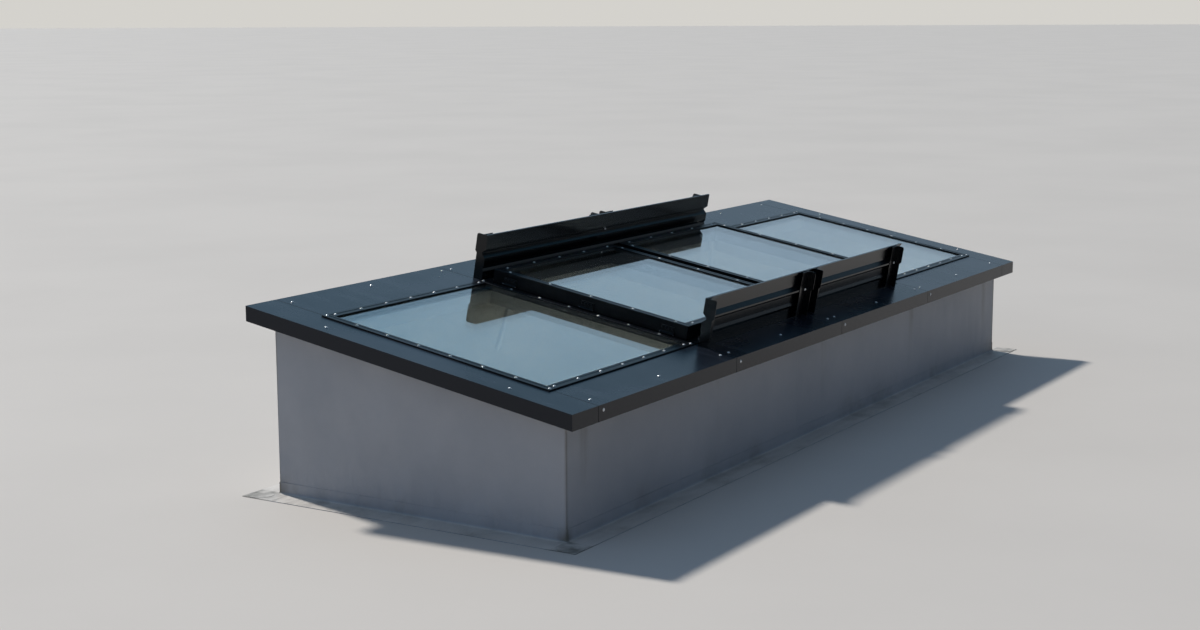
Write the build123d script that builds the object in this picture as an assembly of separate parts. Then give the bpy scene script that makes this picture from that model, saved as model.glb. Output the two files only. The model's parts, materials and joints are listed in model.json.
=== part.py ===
from build123d import *
import math
import os

# Roof skylight in one slope: an insulated kerb that carries two fixed panes and, between them,
# a pair of flaps that open outward like two leaves of a book, each lifted by two spindle drives.
# Millimetres. X runs along the kerb, Y up the slope and Z up, from the middle of the kerb's foot.

# Kerb
kerb_length = 6240.0
kerb_width = 1910.0
kerb_low_height = 725.0
slope = 10.0
membrane = 3.0
insulation = 120.0
liner = 3.0
skirt_width = 150.0
skirt_lap = 70.0
skirt_cove = 14.0

# Glazed field, seen square to the slope, and the sheet flashing round it
field_end_margin = 108.0
field_narrower = 386.0
field_low_margin = 166.0
flashing_overhang = 112.0
flashing_depth = 87.0
flashing_sheet = 2.0
flashing_hem = 12.0
flashing_setback = 10.0
flashing_joint = 2.0
joint_end_inset = 30.0
joint_vent_inset = 20.0
strap_sheet = 1.5
strap_width = 120.0
strap_bearing = 90.0
end_strap_spread = 0.4

# Glazing bars and what they hold
bar_height = 80.0
bar_wall = 4.0
end_bar_ledge = 46.0
channel_gap = 5.0
channel_fin = 2.5
channel_drop = 6.0
glass_sheet = 8.0
glass_gap = 16.0
glass_setback = 6.0
bed_gasket = 5.0
bed_gasket_width = 30.0
spacer_inset = 12.0
spacer_width = 12.0
plate_width = 54.0
plate_height = 6.0
plate_groove = 16.0
plate_groove_depth = 1.5
plate_gasket = 2.0
plate_gasket_width = 12.0
plate_gasket_offset = 12.0
strip_width = 62.0
strip_rest_inset = 2.0
plate_joint = 1.0
packer_setback = 12.0
vent_bar_shift = 26.0
vent_bar_outer = 40.0

# Flaps
flap_plate_gap = 7.0
flap_strip_gap = 4.0
flap_pair_gap = 84.0
flap_top = 93.0
flap_skirt = 4.0
flap_skirt_bottom = 6.0
casement_width = 60.0
casement_bottom = 20.0
casement_height = 34.0
casement_wall = 4.0
flap_glass_sheet = 6.0
flap_glass_gap = 16.0
flap_bed_gasket = 3.0
flap_gasket_inset = 2.0
flap_open = 90.0

# Upstand under each flap
upstand_gap = 12.0
upstand_width = 30.0
upstand_top = 14.0
upstand_wall = 3.0
seal_width = 16.0
seal_clearance = 0.3
gutter_sheet = 2.0
gutter_side = 22.0
gutter_clearance = 1.0

# Hinges
hinge_offset = 10.0
hinge_height = 19.0
knuckle_radius = 7.0
knuckle_length = 30.0
knuckle_gap = 0.5
hinge_pin_radius = 3.0
hinge_pin_head = 4.6
hinge_bore_clearance = 0.08
hinge_margin = 130.0
hinge_sheet = 4.0
leaf_height = 43.0
leaf_clearance = 9.0
strap_leg = 36.0
strap_riser_offset = 4.0
strap_skirt_gap = 3.0

# Spindle drives
drive_lever = 160.0
drive_lug_angle = -4.9
drive_rest_angle = 18.0
drive_travel = 217.0
drive_inset = 27.5
drive_radius = 18.0
spindle_radius = 8.0
spindle_clearance = 0.4
spindle_overlap = 60.0
spindle_end_play = 4.0
motor_length = 110.0
motor_radius = 21.0
collar_radius = 22.0
collar_length = 30.0
collar_mouth = 2.0
cable_gland_radius = 7.0
cable_gland_length = 14.0
trunnion_radius = 6.0
trunnion_clearance = 0.08
trunnion_length = 5.0
drive_plate = 4.0
drive_plate_gap = 1.5
drive_bracket_back = 34.0
eye_width = 12.0
eye_wall = 6.0
eye_side_play = 1.0
eye_root = 1.0
lug_pin_radius = 5.0
lug_pin_clearance = 0.6
lug_plate = 8.0
lug_gap = 7.0
lug_head = 3.0
lug_boss_radius = 10.0
lug_half_width = 16.0

# Wind deflectors
deflector_height = 288.0
deflector_sheet = 3.0
deflector_setback = 16.0
deflector_foot = 34.0
deflector_rib = 26.0
deflector_rib_height = 168.0
deflector_rib_half = 27.0
deflector_rib_flat = 4.0
deflector_groove = 8.0
deflector_groove_height = 72.0
deflector_groove_half = 18.0
deflector_hem = 12.0
deflector_hem_drop = 14.0
deflector_joint = 1.0
gusset_depth = 78.0
gusset_corner = 14.0
gusset_waist = 66.0
gusset_waist_drop = 112.0
gusset_waist_slant = 12.0
bracket_inset = 112.0
bracket_flange = 96.0
bracket_foot_gap = 1.0
bracket_slot_length = 30.0
bracket_slot_width = 12.0
bracket_slot_drop = 63.0
bracket_slot_inset = 31.0
bracket_screw_inset = 21.0

# Screws
screw_head_flats = 13.0
screw_head_height = 5.0
side_screw_pitch = 209.0
side_screw_margin = 17.0
long_screw_pitch = 230.0
long_screw_margin = 34.0
flap_screw_pitch = 300.0
flap_screw_margin = 100.0
flashing_screw_inset = 80.0
flashing_screw_margin = 50.0
fascia_screw_drop = 30.0

# Sizes that follow from those above
tilt = math.radians(slope)
field_length = kerb_length - 2 * field_end_margin
field_width = kerb_width - field_narrower
vent_bar_position = field_length / 4 - vent_bar_shift
joint_end = field_length / 2 - joint_end_inset
joint_vent = vent_bar_position - joint_vent_inset
joint_positions = (-joint_end, -joint_vent, 0.0, joint_vent, joint_end)
core_x = kerb_length / 2 - membrane
core_y = kerb_width / 2 - membrane
shaft_x = core_x - insulation - liner
shaft_y = core_y - insulation - liner
outer_x = kerb_length / 2 + flashing_overhang
outer_y = kerb_width / 2 + flashing_overhang
field_y = -kerb_width / 2 + field_low_margin + field_width / 2 * math.cos(tilt)
field_z = kerb_low_height + (field_y + kerb_width / 2) * math.tan(tilt)
far = kerb_length

edge_x = field_length / 2 - plate_width / 2
edge_v = field_width / 2 - plate_width / 2
glass_depth = 2 * glass_sheet + glass_gap
bar_top = -glass_depth - bed_gasket
bar_bottom = bar_top - bar_height
plate_bottom = plate_gasket
plate_top = plate_bottom + plate_height
packer_top = -flashing_sheet - strap_sheet
channel_half = channel_gap / 2 + channel_fin

flap_x0 = -vent_bar_position + plate_width / 2 + flap_plate_gap
flap_x1 = -flap_pair_gap / 2
flap_v = field_width / 2 - strip_width - flap_strip_gap
casement_top = casement_bottom + casement_height
flap_plate_bottom = flap_top - plate_height
flap_glass_top = flap_plate_bottom - plate_gasket
flap_channel = plate_width / 2
flap_glass_inset = flap_channel + glass_setback
upstand_inset = flap_skirt + upstand_gap
opening_inset = upstand_inset + upstand_width
opening_v = flap_v - opening_inset
strip_v = field_width / 2 - strip_width / 2
hinge_x = flap_x0 - hinge_offset
deflector_v = field_width / 2 + deflector_setback
deflector_end = -flap_x0


def block(x0, x1, y0, y1, z0, z1):
    """Box between two corners."""
    return Pos((x0 + x1) / 2, (y0 + y1) / 2, (z0 + z1) / 2) * Box(x1 - x0, y1 - y0, z1 - z0)


def ring(x0, x1, v, inset, width, w0, w1):
    """Rectangular frame, inset from the outline x0 to x1 and -v to v."""
    outer = block(x0 + inset, x1 - inset, -v + inset, v - inset, w0, w1)
    hole = inset + width
    return outer - block(x0 + hole, x1 - hole, -v + hole, v - hole, w0, w1)


def on_slope(part):
    """Move a part from the field's own axes, where the third one stands square to the slope."""
    return Pos(0, field_y, field_z) * Rot(slope, 0, 0) * part


def slope_point(v, w):
    """Y and Z of a point of the field's own axes."""
    y = field_y + v * math.cos(tilt) - w * math.sin(tilt)
    z = field_z + v * math.sin(tilt) + w * math.cos(tilt)
    return (y, z)


def deck_point(y, w=0.0):
    """Y and Z of the point at y on the plane that lies w above the flashing's top."""
    return (y, field_z + (y - field_y) * math.tan(tilt) + w / math.cos(tilt))


def below(w):
    """Everything under the plane that lies w above the flashing's top."""
    return on_slope(block(-far, far, -far, far, -far, w))


def slab(w0, w1):
    """Everything between two planes of the slope."""
    return on_slope(block(-far, far, -far, far, w0, w1))


def folded(points, sheet):
    """Section of a folded sheet: its outer line, with the sheet on the left of it."""
    line = [Vector(*point) for point in points]
    steps = [(end - start).normalized() for start, end in zip(line, line[1:])]
    sides = [Vector(-step.Y, step.X) for step in steps]
    inner = [line[0] + sides[0] * sheet]
    for corner, before, after in zip(line[1:], sides, sides[1:]):
        inner.append(corner + (before + after) * (sheet / (1 + before.dot(after))))
    inner.append(line[-1] + sides[-1] * sheet)
    return make_face(Polyline(*line, *reversed(inner), close=True))


def along_x(section, x0, x1):
    """Run a section, drawn in Y and Z, from x0 to x1."""
    return extrude(Plane.YZ.offset(x0) * section, x1 - x0)


def flip_x(part):
    """Mirror image at the other end."""
    return mirror(part, about=Plane.YZ)


def flip_v(part):
    """Mirror image on the other side, in the field's own axes."""
    return mirror(part, about=Plane.XZ)


def spread(start, end, pitch, margin):
    """Even places between two ends, about one pitch apart."""
    length = end - start - 2 * margin
    count = max(1, round(length / pitch))
    return [start + margin + length * index / count for index in range(count + 1)]


def hollow(x0, x1, v0, v1, wall):
    """Hollow bar with closed ends, at the height of the glazing bars."""
    outer = block(x0, x1, v0, v1, bar_bottom, bar_top)
    return outer - block(x0 + wall, x1 - wall, v0 + wall, v1 - wall, bar_bottom + wall, bar_top - wall)


def channel_along_x(x0, x1, v, w0, w1):
    """Two fins that the plate screws bite into."""
    low = block(x0, x1, v - channel_half, v - channel_gap / 2, w0, w1)
    high = block(x0, x1, v + channel_gap / 2, v + channel_half, w0, w1)
    return [low, high]


def channel_along_v(x, v0, v1, w0, w1):
    """The same two fins, run up the slope."""
    left = block(x - channel_half, x - channel_gap / 2, v0, v1, w0, w1)
    right = block(x + channel_gap / 2, x + channel_half, v0, v1, w0, w1)
    return [left, right]


def fuse(parts):
    """One solid from parts that touch."""
    whole = parts[0]
    for part in parts[1:]:
        whole = whole + part
    return whole


def save(name, parts):
    """Write one node, of one solid or of a group of them."""
    solids = [solid for part in parts for solid in part.solids()]
    shape = solids[0] if len(solids) == 1 else Compound(children=solids)
    export_step(shape, os.path.join("parts", name + ".step"))


# Kerb


def kerb_side_wall(side):
    """Folded liner wall along the kerb, with a foot and a head turned outward."""
    inner = shaft_y + liner
    y0, y1 = sorted((side * shaft_y, side * inner))
    web = block(-shaft_x - liner, shaft_x + liner, y0, y1, 0, far) & below(bar_bottom)
    f0, f1 = sorted((side * shaft_y, side * core_y))
    foot = block(-core_x, core_x, f0, f1, 0, liner)
    head = block(-core_x, core_x, f0, f1, 0, far) & slab(bar_bottom - liner, bar_bottom)
    return web + foot + head


def kerb_end_wall():
    """Folded liner wall across the kerb, cut to the slope."""
    web = block(-shaft_x - liner, -shaft_x, -shaft_y, shaft_y, 0, far) & below(bar_bottom)
    foot = block(-core_x, -shaft_x - liner, -shaft_y, shaft_y, 0, liner)
    head = block(-core_x, -shaft_x - liner, -shaft_y, shaft_y, 0, far) & slab(bar_bottom - liner, bar_bottom)
    return web + foot + head


def insulation_boards():
    """Boards that fill the liner's outer side between its foot and its head."""
    under = below(bar_bottom - liner)
    boards = []
    for side in (-1, 1):
        y0, y1 = sorted((side * (shaft_y + liner), side * core_y))
        boards.append(block(-core_x, core_x, y0, y1, liner, far) & under)
    end = block(-core_x, -shaft_x - liner, -shaft_y, shaft_y, liner, far) & under
    return boards + [end, flip_x(end)]


def kerb_skin():
    """Sheets of roofing membrane up the kerb's four sides, to just below the flashing."""
    under = below(packer_top)
    low = block(-kerb_length / 2, kerb_length / 2, -kerb_width / 2, -core_y, 0, far) & under
    high = block(-kerb_length / 2, kerb_length / 2, core_y, kerb_width / 2, 0, far) & under
    end = block(-kerb_length / 2, -core_x, -core_y, core_y, 0, far) & under
    return [low, high, end, flip_x(end)]


def skirt_strip(half, length):
    """Membrane strip that coves from the kerb's foot on to the roof, mitred at both ends."""
    face = -half - membrane
    edge = -half - skirt_width
    foot = (face - skirt_cove, membrane)
    line = Polyline((-half, skirt_lap), (-half, 0), (edge, 0), (edge, membrane), foot)
    cove = JernArc(foot, (1, 0), skirt_cove, 90)
    close = Polyline((face, membrane + skirt_cove), (face, skirt_lap), (-half, skirt_lap))
    strip = along_x(make_face(line + cove + close), -length / 2 - skirt_width, length / 2 + skirt_width)
    reach = half + 2 * skirt_width
    plan = Polyline((-length / 2, -half), (length / 2, -half), (length / 2 + reach, -half - reach),
                    (-length / 2 - reach, -half - reach), close=True)
    return strip & extrude(make_face(plan), skirt_lap)


# Base frame and glazing bars


def core_block():
    """Outline of the kerb inside its membrane."""
    return block(-core_x, core_x, -core_y, core_y, 0, far)


def side_rail(side):
    """Head rail along the kerb, with screw channels for the panes and for the clamping strip."""
    wall = bar_wall
    outside = far
    outer_v = sorted((side * opening_v, side * outside))
    shell = on_slope(block(-core_x, core_x, *outer_v, bar_bottom, bar_top))
    inside_v = sorted((side * (opening_v + wall), side * outside))
    room = on_slope(block(-core_x + wall, core_x - wall, *inside_v, bar_bottom + wall, bar_top - wall))
    room = room & block(-core_x, core_x, -core_y + wall, core_y - wall, 0, far)
    rail = (shell & core_block()) - room
    channels = channel_along_x(-edge_x - channel_half, -vent_bar_position + channel_half, side * edge_v,
                               bar_top, -channel_drop)
    channels += [flip_x(fin) for fin in channels]
    channels += channel_along_x(flap_x0, -flap_x0, side * strip_v, bar_top, -channel_drop)
    rest0 = strip_v - strip_width / 2 + strip_rest_inset
    rest = block(flap_x0, -flap_x0, *sorted((side * rest0, side * (rest0 + plate_gasket_width))), bar_top, 0)
    return fuse([rail] + [on_slope(item) for item in channels + [rest]])


def end_rail():
    """Head rail across the kerb, with the screw channel of the pane's outer edge."""
    inner = -edge_x + end_bar_ledge
    rail = hollow(-core_x, inner, -opening_v, opening_v, bar_wall)
    fins = channel_along_v(-edge_x, -edge_v + channel_half, edge_v - channel_half, bar_top, -channel_drop)
    return on_slope(fuse([rail] + fins))


def vent_rafter():
    """Bar between a fixed pane and a flap: a screw channel for the pane and a rest for the plate."""
    x0 = -vent_bar_position - vent_bar_outer
    rail = hollow(x0, flap_x0 + opening_inset, -opening_v, opening_v, bar_wall)
    fins = channel_along_v(-vent_bar_position, -edge_v + channel_half, edge_v - channel_half,
                           bar_top, -channel_drop)
    rest_x = -vent_bar_position + plate_gasket_offset
    rest_v = edge_v + flashing_setback
    rest = block(rest_x, rest_x + plate_gasket_width, -rest_v, rest_v, bar_top, 0)
    return on_slope(fuse([rail, rest] + fins))


def centre_rafter():
    """Bar between the two flaps."""
    half = -flap_x1 + opening_inset
    return on_slope(hollow(-half, half, -opening_v, opening_v, bar_wall))


def packers():
    """Boards on the head rails that the flashing lies on."""
    zone = core_block() & slab(bar_top, packer_top)
    inner_x = edge_x + packer_setback
    inner_v = edge_v + packer_setback
    boards = [zone & on_slope(block(-far, far, inner_v, far, -far, far))]
    boards += [zone & on_slope(block(-far, far, -far, -inner_v, -far, far))]
    end = zone & on_slope(block(-far, -inner_x, -inner_v, inner_v, -far, far))
    return boards + [end, flip_x(end)]


# Glass, gaskets, pressure plates and screws


def pane(x0, x1, v, top, sheet, gap):
    """Sealed pane: outer sheet, spacer frame and inner sheet."""
    outer = block(x0, x1, -v, v, top - sheet, top)
    spacer = ring(x0, x1, v, spacer_inset, spacer_width, top - sheet - gap, top - sheet)
    inner = block(x0, x1, -v, v, top - 2 * sheet - gap, top - sheet - gap)
    return [on_slope(outer), on_slope(spacer), on_slope(inner)]


def fixed_gaskets():
    """Bedding and cover gaskets of the fixed panes and of the clamping strips."""
    x0 = -edge_x + glass_setback
    x1 = -vent_bar_position - glass_setback
    v = edge_v - glass_setback
    near = plate_gasket_offset
    wide = plate_gasket_offset + plate_gasket_width
    bed = ring(x0, x1, v, glass_setback, bed_gasket_width, bar_top, -glass_depth)
    inside = ring(x0, x1, v, near - glass_setback, plate_gasket_width, 0, plate_gasket)
    outside = ring(-edge_x - wide, -vent_bar_position + wide, edge_v + wide, 0, plate_gasket_width,
                   0, plate_gasket)
    items = [bed, inside, outside]
    items += [flip_x(item) for item in items]
    rest = strip_v - strip_width / 2 + strip_rest_inset
    for v0 in (rest, edge_v + packer_setback):
        strip = block(flap_x0, -flap_x0, v0, v0 + plate_gasket_width, 0, plate_gasket)
        items += [strip, flip_v(strip)]
    return [on_slope(item) for item in items]


def plate_section():
    """Pressure plate: bevelled edges and a groove for the screw heads."""
    half = plate_width / 2
    groove = plate_groove / 2
    bevel = plate_groove_depth
    top = plate_height
    points = [(-half, 0), (half, 0), (half, top - bevel), (half - bevel, top), (groove, top)]
    points += [(groove, top - bevel), (-groove, top - bevel), (-groove, top), (bevel - half, top)]
    points += [(-half, top - bevel)]
    return make_face(Polyline(*points, close=True))


def plate_along_v(x, v, bottom):
    """Pressure plate run up the slope."""
    bar = extrude(Plane.XZ.offset(-v) * plate_section(), 2 * v)
    return Pos(x, 0, bottom) * bar


def plate_along_x(x0, x1, v, bottom):
    """Pressure plate run along the kerb."""
    return Pos(0, v, bottom) * along_x(plate_section(), x0, x1)


def plate_frame(x0, x1, v, bottom):
    """Four pressure plates round a pane, the short ones between the long ones."""
    half = plate_width / 2
    inset = half + plate_joint
    plates = [plate_along_v(x, v + half, bottom) for x in (x0, x1)]
    plates += [plate_along_x(x0 + inset, x1 - inset, side * v, bottom) for side in (-1, 1)]
    return [on_slope(plate) for plate in plates]


def screw_head():
    """Hexagon head of a facade screw, standing on its seat."""
    return extrude(RegularPolygon(screw_head_flats / 2, 6, major_radius=False), screw_head_height)


def screw(x, v, w):
    """Screw seated on a surface of the slope."""
    return on_slope(Pos(x, v, w) * screw_head())


def plate_screws(x0, x1, v, top, v_pitch, v_margin, x_pitch, x_margin):
    """Screws down the middle of four pressure plates."""
    seat = top - plate_groove_depth
    half = plate_width / 2
    screws = []
    for place in spread(-v - half, v + half, v_pitch, v_margin):
        screws += [screw(x0, place, seat), screw(x1, place, seat)]
    for place in spread(x0 + half, x1 - half, x_pitch, x_margin):
        screws += [screw(place, -v, seat), screw(place, v, seat)]
    return screws


def edge_strips():
    """Flat clamping strips along the two long sides of the flaps."""
    v0 = strip_v - strip_width / 2
    strip = block(flap_x0, -flap_x0, v0, v0 + strip_width, plate_bottom, plate_top)
    return [on_slope(strip), on_slope(flip_v(strip))]


def strip_screws():
    """Screws down the middle of the clamping strips."""
    places = spread(flap_x0, -flap_x0, flap_screw_pitch, flap_screw_margin)
    return [screw(x, side * strip_v, plate_top) for side in (-1, 1) for x in places]


# Flashing


def flashing_side(side):
    """Sheets along one side of the field, one for each bay, folded down over the kerb."""
    inner = slope_point(side * (edge_v + flashing_setback), 0)
    top = deck_point(side * outer_y)
    bottom = (top[0], top[1] - flashing_depth)
    hem = (bottom[0] - side * flashing_hem, bottom[1])
    line = [inner, top, bottom, hem] if side < 0 else [hem, bottom, top, inner]
    section = folded(line, flashing_sheet)
    gap = flashing_joint / 2
    return [along_x(section, x0 + gap, x1 - gap) for x0, x1 in zip(joint_positions, joint_positions[1:])]


def flashing_end():
    """Sheet round one end of the field, folded down on three sides."""
    x0 = -outer_x
    x1 = joint_positions[0] - flashing_joint / 2
    tray = block(x0, x1, -outer_y, outer_y, -far, far) & below(0)
    tray = tray - Pos(0, 0, -flashing_depth) * below(0)
    sheet = flashing_sheet
    hem = flashing_hem
    room = block(x0 + sheet, x1 + far, -outer_y + sheet, outer_y - sheet, -far, far) & below(-sheet)
    room = room - Pos(0, 0, -flashing_depth + sheet) * below(0)
    mouth = block(x0 + hem, x1 + far, -outer_y + hem, outer_y - hem, -far, far) & below(-sheet)
    inner_x = -edge_x - flashing_setback
    inner_v = edge_v + flashing_setback
    notch = on_slope(block(inner_x, x1 + far, -inner_v, inner_v, -far, far))
    return tray - room - mouth - notch


def side_strap(side, x):
    """Folded strap under a joint or the middle of a flashing sheet."""
    under = -flashing_sheet
    face = side * (outer_y - flashing_sheet)
    inner = deck_point(side * (core_y - strap_bearing), under)
    top = deck_point(face, under)
    bottom = (top[0], top[1] - flashing_depth + flashing_hem)
    line = [inner, top, bottom] if side < 0 else [bottom, top, inner]
    return along_x(folded(line, strap_sheet), x - strap_width / 2, x + strap_width / 2)


def end_strap(v):
    """Folded strap under the flashing at the end of the kerb."""
    face = -outer_x + flashing_sheet
    half = strap_width / 2
    arm = block(face, -core_x + strap_bearing, v - half, v + half, packer_top, -flashing_sheet)
    leg = block(face, face + strap_sheet, v - half, v + half, -flashing_depth + flashing_hem, packer_top)
    return on_slope(arm + leg)


def strap_places():
    """Middles of the flashing sheets, and their joints."""
    middles = [(x0 + x1) / 2 for x0, x1 in zip(joint_positions, joint_positions[1:])]
    return middles, list(joint_positions)


def end_strap_places():
    """Places of the end straps up the slope."""
    return [-field_width * end_strap_spread, field_width * end_strap_spread]


def flashing_straps():
    """All the straps that hold the flashing's overhang."""
    middles, joints = strap_places()
    straps = [side_strap(side, x) for side in (-1, 1) for x in middles + joints]
    ends = [end_strap(v) for v in end_strap_places()]
    return straps + ends + [flip_x(item) for item in ends]


def flashing_screws():
    """Screws through the flashing's top and its face into the straps."""
    middles, joints = strap_places()
    step = flashing_screw_margin
    tops = middles + [x + step for x in joints[:-1]] + [x - step for x in joints[1:]]
    faces = [x + step for x in joints[:-1]]
    head = screw_head()
    screws = []
    for side in (-1, 1):
        y, z = deck_point(side * (outer_y - flashing_screw_inset))
        screws += [Pos(x, y, z) * Rot(slope, 0, 0) * head for x in tops]
        y, z = deck_point(side * outer_y)
        screws += [Pos(x, y, z - fascia_screw_drop) * Rot(-side * 90, 0, 0) * head for x in faces]
    for v in end_strap_places():
        top = screw(-outer_x + flashing_screw_inset, v, 0)
        y, z = slope_point(v, 0)
        face = Pos(-outer_x, y, z - fascia_screw_drop) * Rot(0, -90, 0) * head
        screws += [top, flip_x(top), face, flip_x(face)]
    return screws


# Flaps and their upstands


def upstand():
    """Hollow frame that a flap closes down on."""
    frame = ring(flap_x0, flap_x1, flap_v, upstand_inset, upstand_width, bar_top, upstand_top)
    wall = upstand_wall
    room = ring(flap_x0, flap_x1, flap_v, upstand_inset + wall, upstand_width - 2 * wall,
                bar_top + wall, upstand_top - wall)
    return on_slope(frame - room)


def seal():
    """Soft seal on the upstand, just short of the closed flap."""
    inset = upstand_inset + (upstand_width - seal_width) / 2
    top = casement_bottom - seal_clearance
    return on_slope(ring(flap_x0, flap_x1, flap_v, inset, seal_width, upstand_top, top))


def centre_gutter():
    """Channel that drains the gap between the two flaps."""
    half = -flap_x1 + upstand_inset - gutter_clearance
    outer = block(-half, half, -opening_v, opening_v, bar_top, bar_top + gutter_side)
    trough = block(-half + gutter_sheet, half - gutter_sheet, -opening_v, opening_v,
                   bar_top + gutter_sheet, bar_top + gutter_side)
    return on_slope(outer - trough)


def lug_place():
    """Pin of the drive's lug with the flap closed, in X and square to the slope."""
    angle = math.radians(drive_lug_angle)
    return (hinge_x + drive_lever * math.cos(angle), hinge_height + drive_lever * math.sin(angle))


def drive_lug():
    """Lug under the flap's frame, with the pin that the spindle's eye rides on."""
    x, w = lug_place()
    v0 = -opening_v + lug_gap
    half = lug_boss_radius
    plate = block(x - lug_half_width, x + lug_half_width, v0, v0 + lug_plate, w, casement_bottom)
    side = Plane.XZ.offset(-v0 - lug_plate)
    boss = extrude(side * Pos(x, w) * Circle(half), lug_plate)
    reach = -opening_v + drive_inset + eye_width / 2 + eye_side_play
    pin = extrude(Plane.XZ.offset(-reach) * Pos(x, w) * Circle(lug_pin_radius), reach - v0)
    end = Plane.XZ.offset(-reach - lug_head)
    cap = extrude(end * Pos(x, w) * Circle(lug_pin_radius + lug_head), lug_head)
    return plate + boss + pin + cap


def casement():
    """Flap frame: outer skirt, hollow body, screw channel and the lugs of both drives."""
    skirt = ring(flap_x0, flap_x1, flap_v, 0, flap_skirt, flap_skirt_bottom, flap_plate_bottom)
    body = ring(flap_x0, flap_x1, flap_v, flap_skirt, casement_width, casement_bottom, casement_top)
    wall = casement_wall
    room = ring(flap_x0, flap_x1, flap_v, flap_skirt + wall, casement_width - 2 * wall,
                casement_bottom + wall, casement_top - wall)
    outer = ring(flap_x0, flap_x1, flap_v, flap_channel - channel_half, channel_fin,
                 casement_top, flap_plate_bottom - channel_drop)
    inner = ring(flap_x0, flap_x1, flap_v, flap_channel + channel_gap / 2, channel_fin,
                 casement_top, flap_plate_bottom - channel_drop)
    lug = drive_lug()
    return on_slope(fuse([skirt + body - room, outer, inner, lug, flip_v(lug)]))


def flap_gaskets():
    """Bedding and cover gaskets of a flap's pane."""
    bed_top = casement_top + flap_bed_gasket
    inset = flap_glass_inset + flap_gasket_inset
    bed = ring(flap_x0, flap_x1, flap_v, inset, flap_skirt + casement_width - inset, casement_top, bed_top)
    cover_inset = plate_width - plate_gasket_width - flap_gasket_inset
    cover = ring(flap_x0, flap_x1, flap_v, cover_inset, plate_gasket_width, flap_glass_top, flap_plate_bottom)
    return [on_slope(bed), on_slope(cover)]


# Hinges


def hinge_places():
    """Middles of a flap's three hinges up the slope."""
    return (-flap_v + hinge_margin, 0.0, flap_v - hinge_margin)


def rod_along_v(radius, v, length):
    """Round bar on the hinge's axis."""
    return Pos(hinge_x, v, hinge_height) * Rot(90, 0, 0) * Cylinder(radius, length)


def hinge_strap(v):
    """Fixed half of a hinge: from the upstand, under the flap's skirt and up to the knuckle."""
    half = knuckle_length / 2
    upstand_x = flap_x0 + upstand_inset
    riser_x = hinge_x + strap_riser_offset
    bridge_top = flap_skirt_bottom - strap_skirt_gap
    bridge_bottom = bridge_top - hinge_sheet
    leg = block(upstand_x - hinge_sheet, upstand_x, v - half, v + half, bridge_top - strap_leg, bridge_top)
    bridge = block(riser_x, upstand_x, v - half, v + half, bridge_bottom, bridge_top)
    riser = block(riser_x, riser_x + hinge_sheet, v - half, v + half, bridge_bottom, hinge_height)
    knuckle = rod_along_v(knuckle_radius, v, knuckle_length)
    bore = rod_along_v(hinge_pin_radius + hinge_bore_clearance, v, knuckle_length)
    return on_slope(leg + bridge + riser + knuckle - bore)


def hinge_leaf(v):
    """Moving half of a hinge, on the flap's outer face, with a knuckle on each side of the fixed one."""
    half = knuckle_length / 2
    end = half + knuckle_gap + knuckle_length
    top = hinge_height + leaf_height
    leaf = block(flap_x0 - hinge_sheet, flap_x0, v - end, v + end, hinge_height + leaf_clearance, top)
    for side in (-1, 1):
        middle = v + side * (half + knuckle_gap + half)
        web = block(flap_x0 - hinge_sheet, flap_x0, middle - half, middle + half, hinge_height, top)
        leaf = leaf + web + rod_along_v(knuckle_radius, middle, knuckle_length)
    return on_slope(leaf - rod_along_v(hinge_pin_radius + hinge_bore_clearance, v, 2 * end))


def hinge_pin(v):
    """Hinge pin with a head at its upper end."""
    end = 1.5 * knuckle_length + 2 * knuckle_gap
    head = hinge_pin_radius - 1
    pin = rod_along_v(hinge_pin_radius, v, 2 * end)
    return on_slope(pin + rod_along_v(hinge_pin_head, v + end + head / 2, head))


# Spindle drives
# The lug's pin and the drive's trunnion lie at the same distance from the hinge, so the drive
# turns by exactly half the flap's angle, and the spindle follows the chord between them.


def chord(angle):
    """Distance from the trunnion to the lug's pin at a flap angle."""
    return 2 * drive_lever * math.sin(math.radians(drive_rest_angle + angle) / 2)


def chord_play():
    """How far the lug's pin lies from an evenly driven spindle, at worst inward and outward."""
    steps = [flap_open * index / 90 for index in range(91)]
    play = [chord(step) - chord(0) - drive_travel * step / flap_open for step in steps]
    return min(play), max(play)


def trunnion_place():
    """The drive's trunnion, in X and square to the slope."""
    angle = math.radians(drive_lug_angle - drive_rest_angle)
    return (hinge_x + drive_lever * math.cos(angle), hinge_height + drive_lever * math.sin(angle))


def place_drive(part):
    """Stand a drive, drawn upright on its trunnion, in its closed place."""
    x, w = trunnion_place()
    lean = -(drive_lug_angle - drive_rest_angle / 2)
    return on_slope(Pos(x, -opening_v + drive_inset, w) * Rot(0, lean, 0) * part)


def upright(radius, z0, z1):
    """Round bar on the drive's axis."""
    return Pos(0, 0, (z0 + z1) / 2) * Cylinder(radius, z1 - z0)


def drive_housing():
    """Tube with a swivel collar near its mouth and the motor at its tail."""
    bore_depth = drive_travel + spindle_overlap + spindle_end_play
    mouth = collar_length / 2 + collar_mouth
    tail = -bore_depth - motor_length
    body = upright(drive_radius, -bore_depth, mouth)
    body = body + upright(motor_radius, tail, -bore_depth)
    body = body + upright(collar_radius, -collar_length / 2, collar_length / 2)
    body = body + Rot(90, 0, 0) * Cylinder(trunnion_radius, 2 * (collar_radius + trunnion_length))
    body = body + upright(cable_gland_radius, tail - cable_gland_length, tail)
    return body - upright(spindle_radius + spindle_clearance, -bore_depth, mouth)


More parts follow.
